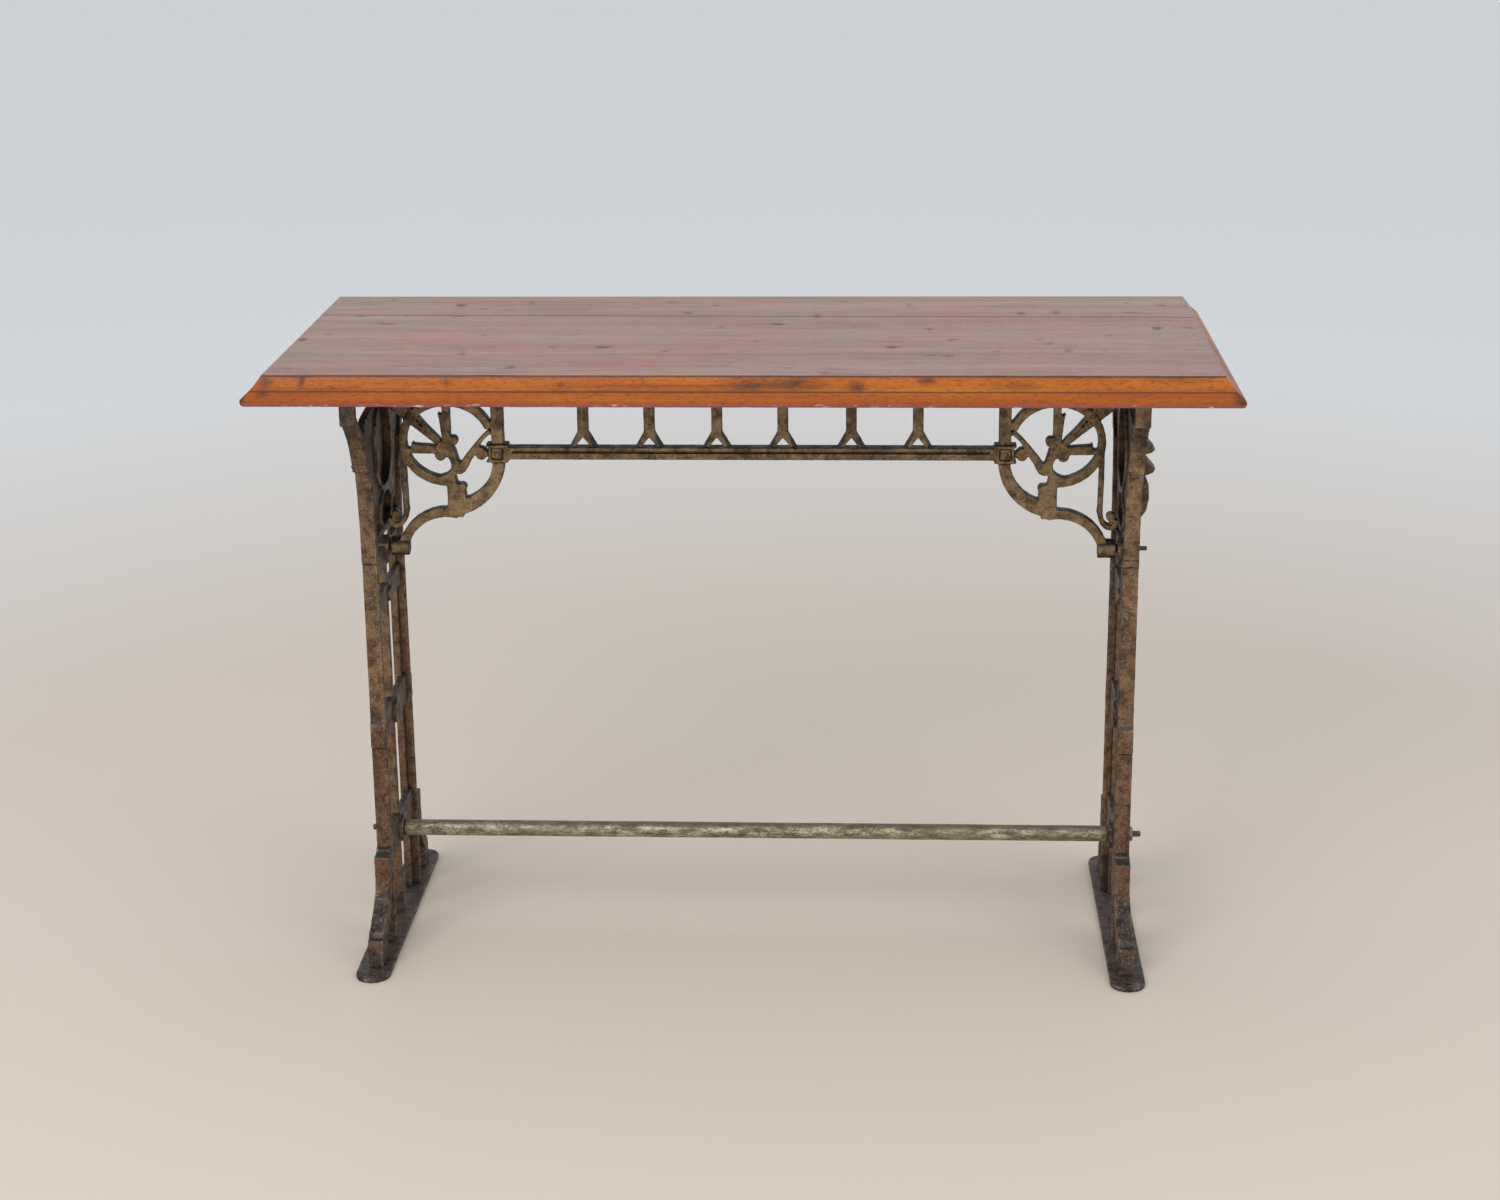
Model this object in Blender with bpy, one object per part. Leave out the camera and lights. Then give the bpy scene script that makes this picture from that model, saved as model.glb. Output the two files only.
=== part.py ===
"""Side table: a bevelled two-plank top on two cast-iron end frames.

A cast girt and a footrest tube on a tie rod join the frames.
+X runs along the top, +Y to the back, +Z up; the origin is on the floor below the middle.
"""
import math

import bmesh
import bpy
from mathutils import Vector

MM = 0.001
GAP = 0.3                      # clearance between touching pieces, in mm like all sizes below

# Driving dimensions (mm)
HEIGHT = 746.0
TOP_LENGTH = 1100.0
TOP_DEPTH = 490.0
TOP_THICKNESS = 32.0
BEVEL_INSET = 21.8             # plan width of the sloping edge
SEAM_LEFT_Y = 107.0            # the joint between the planks runs slightly askew
SEAM_RIGHT_Y = 93.0

FRAME_X = 446.3                # centre plane of an end frame
FLANGE_WIDTH = 18.2            # along X
WEB_WIDTH = 9.0                # along X
MIDDLE_BAR_X = 449.5           # the slender middle bar is flush with the outer face
MIDDLE_BAR_WIDTH = 11.7        # along X
FOOT_FLARE = 3.0               # how far the toes stand outside the posts
SOLE_X = 449.8
SOLE_LENGTH = 404.0
SOLE_SHIFT = -2.5              # the soles reach slightly further to the front
SOLE_WIDTH = 41.3
SOLE_THICKNESS = 4.8

GIRT_THICKNESS = 16.0
GIRT_RAIL_THICKNESS = 18.0
LUG_GAP = 2.2                  # slot between a frame and the girt's round lug
STUD_Z = 485.0
TUBE_Z = 117.6
TUBE_RADIUS = 10.0
TUBE_BORE = 6.5
ROD_RADIUS = 4.0
ROD_END = 477.5
STUD_RADIUS = 3.0
STUD_END = 473.0
STUD_DEPTH = 14.0              # how far a stud reaches into the girt

UNDERSIDE = HEIGHT - TOP_THICKNESS
RAIL_TOP = UNDERSIDE - GAP
RAIL_BOTTOM = RAIL_TOP - 9.5
SOLE_TOP = SOLE_THICKNESS + GAP
INNER_FACE = FRAME_X - FLANGE_WIDTH / 2
OUTER_FACE = FRAME_X + FLANGE_WIDTH / 2
MEDALLION_PROUD = 14.0         # the ornament on each outer face, less its leaf tips
SCREW_RADIUS = 2.4
SCREW_DEPTH = 18.0
SIDES = (("left", -1.0), ("right", 1.0))


def clear_scene():
    for item in list(bpy.data.objects):
        bpy.data.objects.remove(item, do_unlink=True)


def make_material(name, colour, roughness, metallic):
    material = bpy.data.materials.new(name)
    material.use_nodes = True
    shader = material.node_tree.nodes["Principled BSDF"]
    shader.inputs["Base Color"].default_value = (*colour, 1.0)
    shader.inputs["Roughness"].default_value = roughness
    shader.inputs["Metallic"].default_value = metallic
    return material


# ---------------------------------------------------------------- outlines (mm)

def arc(centre, radius, start, end, count):
    """Points on an arc, angles in degrees."""
    points = []
    for step in range(count + 1):
        angle = math.radians(start + (end - start) * step / count)
        points.append((centre[0] + radius * math.cos(angle), centre[1] + radius * math.sin(angle)))
    return points


def ellipse(centre, half_width, half_height, count):
    points = []
    for step in range(count):
        angle = 2 * math.pi * step / count
        points.append((centre[0] + half_width * math.cos(angle),
                       centre[1] + half_height * math.sin(angle)))
    return points


def sector(centre, inner, outer, start, end, count):
    """Outline of an arc-shaped bar."""
    return arc(centre, outer, start, end, count) + arc(centre, inner, end, start, count)


def box(low_u, low_v, high_u, high_v):
    return [(low_u, low_v), (high_u, low_v), (high_u, high_v), (low_u, high_v)]


def strip(line, width):
    """Outline of a bar of even width along a centre line."""
    left = []
    right = []
    for index, point in enumerate(line):
        before = Vector(line[max(index - 1, 0)])
        after = Vector(line[min(index + 1, len(line) - 1)])
        along = (after - before).normalized()
        side = Vector((-along.y, along.x)) * width / 2
        left.append(tuple(Vector(point) + side))
        right.append(tuple(Vector(point) - side))
    return left + right[::-1]


def smooth_line(points, steps):
    """Catmull-Rom curve through the points."""
    padded = [points[0]] + list(points) + [points[-1]]
    line = []
    for index in range(1, len(padded) - 2):
        p0, p1, p2, p3 = (Vector(p) for p in padded[index - 1:index + 3])
        for step in range(steps):
            t = step / steps
            line.append(tuple(0.5 * (2 * p1 + (p2 - p0) * t + (2 * p0 - 5 * p1 + 4 * p2 - p3) * t * t
                                     + (3 * p1 - p0 - 3 * p2 + p3) * t ** 3)))
    line.append(tuple(points[-1]))
    return line


def mirror(outline):
    return [(-u, v) for u, v in outline]


# ---------------------------------------------------------------- solids

def place(axis, u, v, w):
    """A point (u, v) of an outline at height w along its extrusion axis, in metres."""
    if axis == "X":
        point = Vector((w, u, v))
    elif axis == "Y":
        point = Vector((u, w, v))
    else:
        point = Vector((u, v, w))
    return point * MM


def solid(name, levels, axis):
    """A closed solid through outlines of equal point counts, given as (outline, height) pairs."""
    bm = bmesh.new()
    rings = []
    for outline, height in levels:
        rings.append([bm.verts.new(place(axis, u, v, height)) for u, v in outline])
    for lower, upper in zip(rings, rings[1:]):
        for index in range(len(lower)):
            following = (index + 1) % len(lower)
            bm.faces.new((lower[index], lower[following], upper[following], upper[index]))
    bm.faces.new(rings[0][::-1])
    bm.faces.new(rings[-1])
    bmesh.ops.recalc_face_normals(bm, faces=bm.faces)
    mesh = bpy.data.meshes.new(name)
    bm.to_mesh(mesh)
    bm.free()
    item = bpy.data.objects.new(name, mesh)
    bpy.context.scene.collection.objects.link(item)
    return item


def prism(outline, low, high, axis):
    return solid("piece", [(outline, low), (outline, high)], axis)


def cylinder(centre, radius, low, high, axis, count):
    return prism(ellipse(centre, radius, radius, count), low, high, axis)


def combine(base, tools, operation):
    """Apply exact Booleans to the base and remove the tools."""
    for tool in tools:
        modifier = base.modifiers.new("combine", "BOOLEAN")
        modifier.operation = operation
        modifier.solver = "EXACT"
        modifier.object = tool
    bpy.context.view_layer.update()
    evaluated = base.evaluated_get(bpy.context.evaluated_depsgraph_get())
    mesh = bpy.data.meshes.new_from_object(evaluated)
    base.modifiers.clear()
    base.data = mesh
    for tool in tools:
        bpy.data.objects.remove(tool, do_unlink=True)


def finish_node(item, name, material):
    item.name = name
    item.data.name = name
    item.data.materials.clear()
    item.data.materials.append(material)
    item.data.shade_smooth()
    item.data.set_sharp_from_angle(angle=math.radians(35))


def build_node(name, material, adds, cuts=()):
    """One closed body: the union of the first solids less the second ones."""
    base = adds[0]
    if len(adds) > 1:
        combine(base, adds[1:], "UNION")
    if cuts:
        combine(base, list(cuts), "DIFFERENCE")
    finish_node(base, name, material)
    return base


def bar_x(name, material, radius, low, high, z, sides, bore=0.0):
    """A round bar or tube lying along X."""
    cuts = []
    if bore:
        cuts.append(cylinder((0, z), bore, low - 1, high + 1, "X", sides))
    return build_node(name, material, [cylinder((0, z), radius, low, high, "X", sides)], cuts)


def span(side, near, far):
    """Extent along X of something between two distances from the middle, on one side."""
    return sorted((side * near, side * far))


# ---------------------------------------------------------------- the top

def screw_places():
    """(name, x, y) of every screw that holds the ironwork under the planks."""
    places = []
    for label, side in SIDES:
        for where, y in (("front", -140.0), ("middle", 60.0), ("back", 140.0)):
            places.append((f"frame_screw_{label}_{where}", side * FRAME_X, y))
    for index, x in enumerate((-340.0, -80.0, 80.0, 340.0)):
        places.append((f"girt_screw_{index + 1}", x, 0.0))
    return places


def board_levels(outline_at):
    """The plank's edge from underside to face: eased foot, lower slope, quirk, upper slope."""
    rows = ((UNDERSIDE, 3.0), (UNDERSIDE + 1.0, 1.5), (UNDERSIDE + 3.0, 0.5), (UNDERSIDE + 5.5, 0.0),
            (UNDERSIDE + 8.0, 0.3), (HEIGHT - 16.2, 8.6), (HEIGHT - 15.6, 10.0),
            (HEIGHT - 0.8, 21.0), (HEIGHT, BEVEL_INSET))
    return [(outline_at(inset), height) for height, inset in rows]


def seam_y(x):
    half = TOP_LENGTH / 2
    return SEAM_LEFT_Y + (SEAM_RIGHT_Y - SEAM_LEFT_Y) * (x + half) / TOP_LENGTH


def front_board_outline(inset):
    end = TOP_LENGTH / 2 - inset
    front = -TOP_DEPTH / 2 + inset
    return [(-end, front), (end, front), (end, seam_y(end)), (-end, seam_y(-end))]


def back_board_outline(inset):
    end = TOP_LENGTH / 2 - inset
    back = TOP_DEPTH / 2 - inset
    return [(-end, seam_y(-end) + GAP), (end, seam_y(end) + GAP), (end, back), (-end, back)]


def build_boards(wood):
    for name, outline_at, front in (("top_board_front", front_board_outline, True),
                                    ("top_board_back", back_board_outline, False)):
        board = solid(name, board_levels(outline_at), "Z")
        holes = []
        for _, x, y in screw_places():
            if (y < seam_y(x)) == front:
                holes.append(cylinder((x, y), SCREW_RADIUS + GAP, UNDERSIDE - 1,
                                      UNDERSIDE + SCREW_DEPTH + 1, "Z", 8))
        build_node(name, wood, [board], holes)


# ---------------------------------------------------------------- the end frames

# Edges of a frame's flange, |y| against z, from the top block down to the shoulder above the foot.
HEAD_OUTER = [(174, RAIL_TOP - 0.2), (174, 676), (173, 674.6), (163, 672), (154, 665), (139.5, 651),
              (128.7, 636), (122, 623), (117, 614), (115.5, 606), (104, 605), (96, 568), (92, 530),
              (91, 497), (93, 496), (93, 489), (89, 487), (91.4, 293), (95.6, 287), (96.2, 259),
              (92.6, 256), (93.5, 131), (101, 129), (101, 126), (116.5, 124), (116.5, 119)]
HEAD_INNER = [(85, 112), (84.5, 131), (84, 250), (84, 281), (80, 487), (81, 530), (85, 568), (92, 598),
              (101, 609), (111, 622), (118, 636), (129, 652), (144, 666), (156, 677), (164, 684),
              (164, RAIL_TOP - 0.2)]
FOOT_OUTER = [(116.3, 122), (116, 95), (119, 82), (125, 73), (135, 62), (147, 51), (155, 44.5), (159, 37.5),
              (166.5, 37), (168, 30), (170.5, 7), (170.5, SOLE_TOP)]
FOOT_INNER = [(138, SOLE_TOP), (138, 34), (128, 42), (114, 57), (106, 70), (101, 84), (99.5, 100),
              (95, 108), (86, 114)]
ARCH_EDGE = [(40, 527), (66, 529), (80, 534), (86, 552), (92, 580), (104, 600), (106, 643), (103.5, 652),
             (97, 659), (85, 663), (58, 666), (25, 667.5)]


def arched_panel():
    """Web that fills the head below its flat arch, down to the open neck."""
    return ARCH_EDGE + mirror(ARCH_EDGE)[::-1]


def both_sides(outline, half_width, x):
    """The outline and its mirror image as solids about the frame's centre plane."""
    return [prism(outline, x - half_width, x + half_width, "X"),
            prism(mirror(outline), x - half_width, x + half_width, "X")]


def medallion(side):
    """Swelling oval on the outer face with two leaf tips and a long lower leaf."""
    centre = (0, 574)
    rows = ((0, 44, 54), (4, 44, 54), (7, 38, 49), (11, 28, 40), (MEDALLION_PROUD, 14, 26))
    levels = [(ellipse(centre, wide, tall, 28), side * (OUTER_FACE - 4 + out)) for out, wide, tall in rows]
    pieces = [solid("piece", levels, "X")]
    tips = ([(-1, 630), (9, 624), (22, 610), (18, 606), (10, 604), (-1, 602)],
            [(-1, 606), (8, 603), (23, 586), (20, 581), (10, 577), (-1, 576)],
            [(-1, 580), (12, 576), (16, 566), (17, 550), (14, 534), (6, 523), (-1, 520)])
    for outline, half in zip(tips, (15, 13, 11)):
        turned = [(side * (OUTER_FACE + proud), z) for proud, z in outline]
        pieces.append(prism(turned, -half, half, "Y"))
    return pieces


def flare_foot(foot, side):
    """Lean a foot outward below its shoulder."""
    for vertex in foot.data.vertices:
        reach = (abs(vertex.co.y) / MM - 116) / 40
        vertex.co.x += side * FOOT_FLARE * MM * min(max(reach, 0.0), 1.0)


def build_frame(label, side, iron):
    x = side * FRAME_X
    flange = FLANGE_WIDTH / 2
    web = WEB_WIDTH / 2
    adds = [prism(box(-173.8, RAIL_BOTTOM, 173.8, RAIL_TOP), x - flange + 0.3, x + flange - 0.3, "X")]
    adds += both_sides(HEAD_OUTER + HEAD_INNER, flange, x)
    feet = both_sides(FOOT_OUTER + FOOT_INNER, flange - 0.2, x)
    for foot in feet:
        flare_foot(foot, side)
    adds += feet
    adds += both_sides(box(85.4, SOLE_TOP, 93.2, 125), flange - 0.1, x)
    # The web of each post lies in the outer half of its width
    low, high = span(side, FRAME_X, OUTER_FACE - 0.1)
    for outline in (box(73, SOLE_TOP, 88, 540), mirror(box(73, SOLE_TOP, 88, 540))):
        adds.append(prism(outline, low, high, "X"))
    adds.append(prism(arched_panel(), x - web + 0.1, x + web - 0.1, "X"))
    # Two dished ovals, one above the other, with raised rims on the inner face
    cuts = []
    for centre, wide, tall, rim, half in (((0, 612), 46, 51, 6, 7.6), ((0, 533.4), 33, 20.2, 5, 7.2)):
        adds.append(prism(ellipse(centre, wide + rim, tall + rim, 32), x - half, x + half, "X"))
        low, high = span(side, INNER_FACE - 5, FRAME_X + 1.6)
        cuts.append(prism(ellipse(centre, wide, tall, 32), low, high, "X"))
    adds += medallion(side)
    # Slender middle bar, thinner through the neck, and the rails that tie the posts together
    middle = side * MIDDLE_BAR_X
    bar = MIDDLE_BAR_WIDTH / 2
    adds.append(prism(box(-6, SOLE_TOP, 4, 489), middle - bar, middle + bar, "X"))
    adds.append(prism(box(-5, 480, 4, 531), middle - 3, middle + 3, "X"))
    for low, high in ((102, 138), (258, 292), (415, 439), (462, 487), (503, 512)):
        adds.append(prism(box(-86, low, 86, high), x - web + 0.4, x + web - 0.2, "X"))
    for z, radius, short in ((425, 10, 1.0), (275, 17, 0.6), (STUD_Z - 4, 17, 0.0), (TUBE_Z, 17.6, 0.0)):
        adds.append(cylinder((0, z), radius, x - flange + short, x + flange - short, "X", 20))
    cuts.append(cylinder((0, STUD_Z), STUD_RADIUS + GAP, x - 20, x + 20, "X", 12))
    cuts.append(cylinder((0, TUBE_Z), ROD_RADIUS + GAP, x - 20, x + 20, "X", 12))
    for name, screw_x, y in screw_places():
        if name.startswith(f"frame_screw_{label}"):
            cuts.append(cylinder((screw_x, y), SCREW_RADIUS + GAP, RAIL_BOTTOM - 1, RAIL_TOP + 1, "Z", 8))
    build_node(f"end_frame_{label}", iron, adds, cuts)


def build_sole(label, side, iron):
    x = side * SOLE_X
    back = SOLE_SHIFT + SOLE_LENGTH / 2 - SOLE_WIDTH / 2
    front = SOLE_SHIFT - SOLE_LENGTH / 2 + SOLE_WIDTH / 2
    outline = arc((x, back), SOLE_WIDTH / 2, 0, 180, 10) + arc((x, front), SOLE_WIDTH / 2, 180, 360, 10)
    holes = [cylinder((x, y), 3.2, -1, SOLE_THICKNESS + 1, "Z", 10) for y in (front - 6, back + 6)]
    build_node(f"sole_{label}", iron, [prism(outline, 0, SOLE_THICKNESS, "Z")], holes)


# ---------------------------------------------------------------- the girt

RAIL_LOW = 594.2
RAIL_HIGH = 609.0
MULLIONS = (-199.0, -120.0, -39.5, 38.9, 120.0, 199.0)
MULLION_WIDTH = 12.6
BOSS_X = 302.0
BOSS_Z = 601.5
RING_CENTRE = (362.0, 615.4)
RING_OUTER = (58.4, 54.6)      # half width and half height
RING_INNER = (49.3, 43.6)


def mullion(x, wide):
    """Upright that splits into a short fork where it meets the rail."""
    half = MULLION_WIDTH / 2
    bottom = RAIL_HIGH - 1
    return [(x - half, RAIL_BOTTOM + 1), (x - half, 627.5), (x - 12.6 - wide, bottom + 1.6),
            (x - 14 - wide, bottom), (x + 14 + wide, bottom), (x + 12.6 + wide, bottom + 1.6),
            (x + half, 627.5), (x + half, RAIL_BOTTOM + 1)]


def ring_part(start, end, count):
    """Part of the oval ring around a pierced corner, angles in degrees."""
    points = []
    for half_width, half_height, first, last in ((*RING_OUTER, start, end), (*RING_INNER, end, start)):
        for step in range(count + 1):
            angle = math.radians(first + (last - first) * step / count)
            points.append((RING_CENTRE[0] + half_width * math.cos(angle),
                           RING_CENTRE[1] + half_height * math.sin(angle)))
    return points


def spandrel_outlines():
    """Bars of one pierced corner, as (outline, thickness along Y)."""
    thick = GIRT_THICKNESS
    leaf = thick - 3
    edge = INNER_FACE - 0.8
    petal_up = [(358, 708), (358, 608), (366, 605), (368.4, 622), (370.6, 643), (372.4, 650.6),
                (368, 648), (367, 651), (367, 708)]
    petal_high = [(371, 611), (378, 617), (394, 634.5), (411, 656.5), (edge, 689), (edge, 704),
                  (425, 686), (397.1, 648.6), (386.4, 635.4), (371.8, 620), (366, 612)]
    petal_low = [(370, 605), (378.2, 614), (391.4, 624.8), (406, 636.4), (edge, 661), (edge, 692),
                 (411, 659), (394, 637), (378, 620), (369, 612)]
    petal_side = [(369, 609), (378, 610.6), (402.8, 612.6), (404.8, 616), (405.4, 607.4), (413, 607),
                  (413, 600.4), (407, 600.9), (382, 600.6), (369, 601)]
    trunk = [(357, 614), (353, 605.5), (350.6, 597), (348.6, 590.8), (347, 584), (350.6, 577),
             (354.6, 572.6), (362, 571), (374, 568), (375.2, 572.4), (364.5, 576), (359.4, 580.8),
             (358, 586.2), (359.6, 593), (364, 597.6), (367, 606)]
    branch = [(309.4, 625.5), (311.4, 631), (322, 620.8), (332, 609.4), (341.4, 597.8), (347.4, 589.2),
              (354, 583), (352.4, 576.6), (349.5, 575.1), (346.4, 575.5), (341.6, 578.2), (338.4, 583.4),
              (335.6, 589.6), (331.4, 596), (328.4, 600), (326, 606), (322.3, 612.3), (316.8, 619.2)]
    hook = arc((322.4, 600.4), 8.4, 0, 160, 9) + [(313, 597.6), (322, 600)]
    bud = ([(345.6, 532), (345.6, 545.2)] + arc((346.4, 550), 4.6, 250, 130, 4)
           + arc((346.6, 558.6), 5.6, 205, 95, 5) + arc((349.4, 568), 4.2, 260, 330, 3)
           + [(356, 574), (364, 566), (364, 531)])
    quarter = arc((364.3, 593.9), 70.5, 178, 254, 12) + arc((357.6, 593.3), 49.7, 255, 178, 12)
    foot_line = [(416, 620), (416, 560), (415.4, 534), (417, 521), (422, 513.6), (429, 511.6),
                 (434, 515), (434.6, 521)]
    return [
        (box(294.2, 606, 308.6, 708), thick),
        (ring_part(-100, 160, 26), thick - 1),
        (quarter, thick),
        ([(345.5, 522), (366.5, 523), (366.5, 534.3), (345.5, 534)], thick),
        (sector((366, 472), 50.4, 62, 104, 4, 12), thick),
        (petal_up, leaf),
        (petal_high, leaf),
        (petal_low, leaf - 1.2),
        (petal_side, leaf),
        (ellipse((367.8, 608.0), 8.0, 7.0, 12), thick - 1),
        (ellipse((355, 616.4), 6.0, 6.0, 14), leaf - 0.6),
        (ellipse((370.6, 598.6), 6.8, 6.8, 14), leaf - 0.6),
        (trunk, leaf + 0.8),
        (branch, leaf + 0.4),
        (hook, leaf + 1.2),
        (ellipse((321.6, 599.6), 6.7, 6.7, 14), leaf - 0.6),
        (box(311, 597, 317, 604), leaf - 1.4),
        (bud, thick - 0.6),
        (strip(smooth_line(foot_line, 2), 6.0), leaf + 1.6),
        (box(411.8, 528.5, 416, 532.5), leaf),
        (ellipse((428.4, 524.4), 5.5, 5.5, 12), leaf - 0.6),
        (box(427, 511, 430, 524), leaf - 2.2),
    ]


def build_girt(iron):
    half = GIRT_THICKNESS / 2
    rail = GIRT_RAIL_THICKNESS / 2
    adds = [prism(box(-BOSS_X, RAIL_LOW, BOSS_X, RAIL_HIGH), -rail, rail, "Y"),
            prism(box(-436, RAIL_BOTTOM, 436, RAIL_TOP), -10, 10, "Y")]
    cuts = []
    for x in MULLIONS:
        # The fork's front edges are narrower than its back edges
        adds.append(solid("piece", [(mullion(x, 0.0), 0.5 - half), (mullion(x, 4.0), half - 0.5)], "Y"))
        cuts.append(prism([(x - 10, RAIL_HIGH), (x + 10, RAIL_HIGH), (x, 621.4)], -20, 20, "Y"))
    for _, side in SIDES:
        for outline, thickness in spandrel_outlines():
            turned = [(side * u, v) for u, v in outline]
            adds.append(prism(turned, -thickness / 2, thickness / 2, "Y"))
        adds.append(prism(box(side * BOSS_X - 10.3, BOSS_Z - 10, side * BOSS_X + 10.3, BOSS_Z + 10),
                          -rail - 1.4, rail + 1.4, "Y"))
        for low, high in ((590.4, 593), (610, 613)):
            adds.append(prism(box(side * BOSS_X - 13, low, side * BOSS_X + 13, high),
                              -rail - 0.7, rail + 0.7, "Y"))
        low, high = span(side, 284.6, BOSS_X)
        adds.append(prism(box(low, RAIL_LOW + 0.6, high, RAIL_HIGH - 0.6), -rail - 0.4, rail + 0.4, "Y"))
        near, far = span(side, 414, INNER_FACE - LUG_GAP)
        adds.append(cylinder((0, STUD_Z), 11.8, near, far, "X", 20))
        near, far = span(side, 428, INNER_FACE - GAP)
        adds.append(cylinder((0, STUD_Z), 5.6, near, far, "X", 12))
        near, far = span(side, INNER_FACE - GAP - STUD_DEPTH, INNER_FACE + 5)
        cuts.append(cylinder((0, STUD_Z), STUD_RADIUS + GAP, near, far, "X", 12))
        for front in (-1, 1):
            # Square recess round a low pyramid in the boss, and a groove between the two upper petals
            frame_cut = prism(box(side * BOSS_X - 7.3, BOSS_Z - 7.2, side * BOSS_X + 7.3, BOSS_Z + 7.2),
                              *sorted((front * (rail - 0.8), front * (rail + 5))), "Y")
            square = box(side * BOSS_X - 4.6, BOSS_Z - 4.5, side * BOSS_X + 4.6, BOSS_Z + 4.5)
            point = box(side * BOSS_X - 1.2, BOSS_Z - 1.2, side * BOSS_X + 1.2, BOSS_Z + 1.2)
            pyramid = solid("piece", [(square, front * (rail - 1.6)), (point, front * (rail + 0.8))], "Y")
            combine(frame_cut, [pyramid], "DIFFERENCE")
            cuts.append(frame_cut)
            groove = [(side * u, v) for u, v in
                      ((376.4, 617.6), (393, 634.6), (410.4, 656.4), (438, 690), (438, 693),
                       (409.6, 658.4), (392.2, 636.4), (375.4, 619.4))]
            cuts.append(prism(groove, *sorted((front * 3.0, front * 20)), "Y"))
    for front in (-1, 1):
        low, high = sorted((front * (rail - 2.4), front * (rail + 5)))
        for bottom, top in ((597.4, 599.4), (602.0, 604.6)):
            cuts.append(prism(box(-284, bottom, 284, top), low, high, "Y"))
    for name, x, y in screw_places():
        if name.startswith("girt_screw"):
            cuts.append(cylinder((x, y), SCREW_RADIUS + GAP, RAIL_BOTTOM - 1, RAIL_TOP + 1, "Z", 8))
    build_node("back_girt", iron, adds, cuts)


# ---------------------------------------------------------------- tube, rod and fastenings

def hexagon(centre, across_corners):
    return ellipse(centre, across_corners / 2, across_corners / 2, 6)


def build_fastening(label, side, prefix, z, radius, washer_radius, washer_thick, nut_corners,
                    nut_thick, steel):
    """Washer and nut on a threaded end that comes out of a frame's outer face."""
    washer_start = OUTER_FACE + GAP
    low, high = span(side, washer_start, washer_start + washer_thick)
    bar_x(f"{prefix}_washer_{label}", steel, washer_radius, low, high, z, 16, radius + GAP)
    nut_start = washer_start + washer_thick + GAP
    low, high = span(side, nut_start, nut_start + nut_thick)
    bore = cylinder((0, z), radius + GAP, low - 1, high + 1, "X", 12)
    build_node(f"{prefix}_nut_{label}", steel, [prism(hexagon((0, z), nut_corners), low, high, "X")], [bore])


def build_screw(name, x, y, steel):
    head_top = RAIL_BOTTOM - GAP
    shank = cylinder((x, y), SCREW_RADIUS, head_top - 1, UNDERSIDE + SCREW_DEPTH, "Z", 8)
    head = solid("head", [(ellipse((x, y), 2.6, 2.6, 12), head_top - 3),
                          (ellipse((x, y), 4.6, 4.6, 12), head_top - 1.4),
                          (ellipse((x, y), 5.0, 5.0, 12), head_top)], "Z")
    build_node(name, steel, [head, shank])


def build_hardware(steel, tube_metal):
    tube_end = INNER_FACE - GAP
    bar_x("footrest_tube", tube_metal, TUBE_RADIUS, -tube_end, tube_end, TUBE_Z, 28, TUBE_BORE)
    bar_x("tie_rod", steel, ROD_RADIUS, -ROD_END, ROD_END, TUBE_Z, 12)
    for label, side in SIDES:
        build_fastening(label, side, "tie", TUBE_Z, ROD_RADIUS, 9.0, 2.0, 18.0, 9.3, steel)
        build_fastening(label, side, "girt", STUD_Z, STUD_RADIUS, 7.0, 1.6, 11.5, 5.0, steel)
        low, high = span(side, INNER_FACE - STUD_DEPTH + 0.5, STUD_END)
        bar_x(f"girt_stud_{label}", steel, STUD_RADIUS, low, high, STUD_Z, 12)
    for name, x, y in screw_places():
        build_screw(name, x, y, steel)


def main():
    clear_scene()
    wood = make_material("varnished_wood", (0.30, 0.13, 0.06), 0.35, 0.0)
    iron = make_material("bronzed_iron", (0.16, 0.11, 0.06), 0.55, 0.6)
    dark_iron = make_material("dark_iron", (0.09, 0.07, 0.055), 0.6, 0.6)
    tube_metal = make_material("worn_steel_tube", (0.26, 0.23, 0.17), 0.5, 0.7)
    steel = make_material("old_steel", (0.12, 0.10, 0.08), 0.55, 0.8)
    build_boards(wood)
    for label, side in SIDES:
        build_frame(label, side, iron)
        build_sole(label, side, dark_iron)
    build_girt(iron)
    build_hardware(steel, tube_metal)


main()
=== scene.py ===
"""Looks of the side table: worn plank top, bronzed cast iron, footrest tube and fastenings."""
import math

import bmesh
import bpy
import numpy as np
from mathutils import Matrix, Vector, noise


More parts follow.
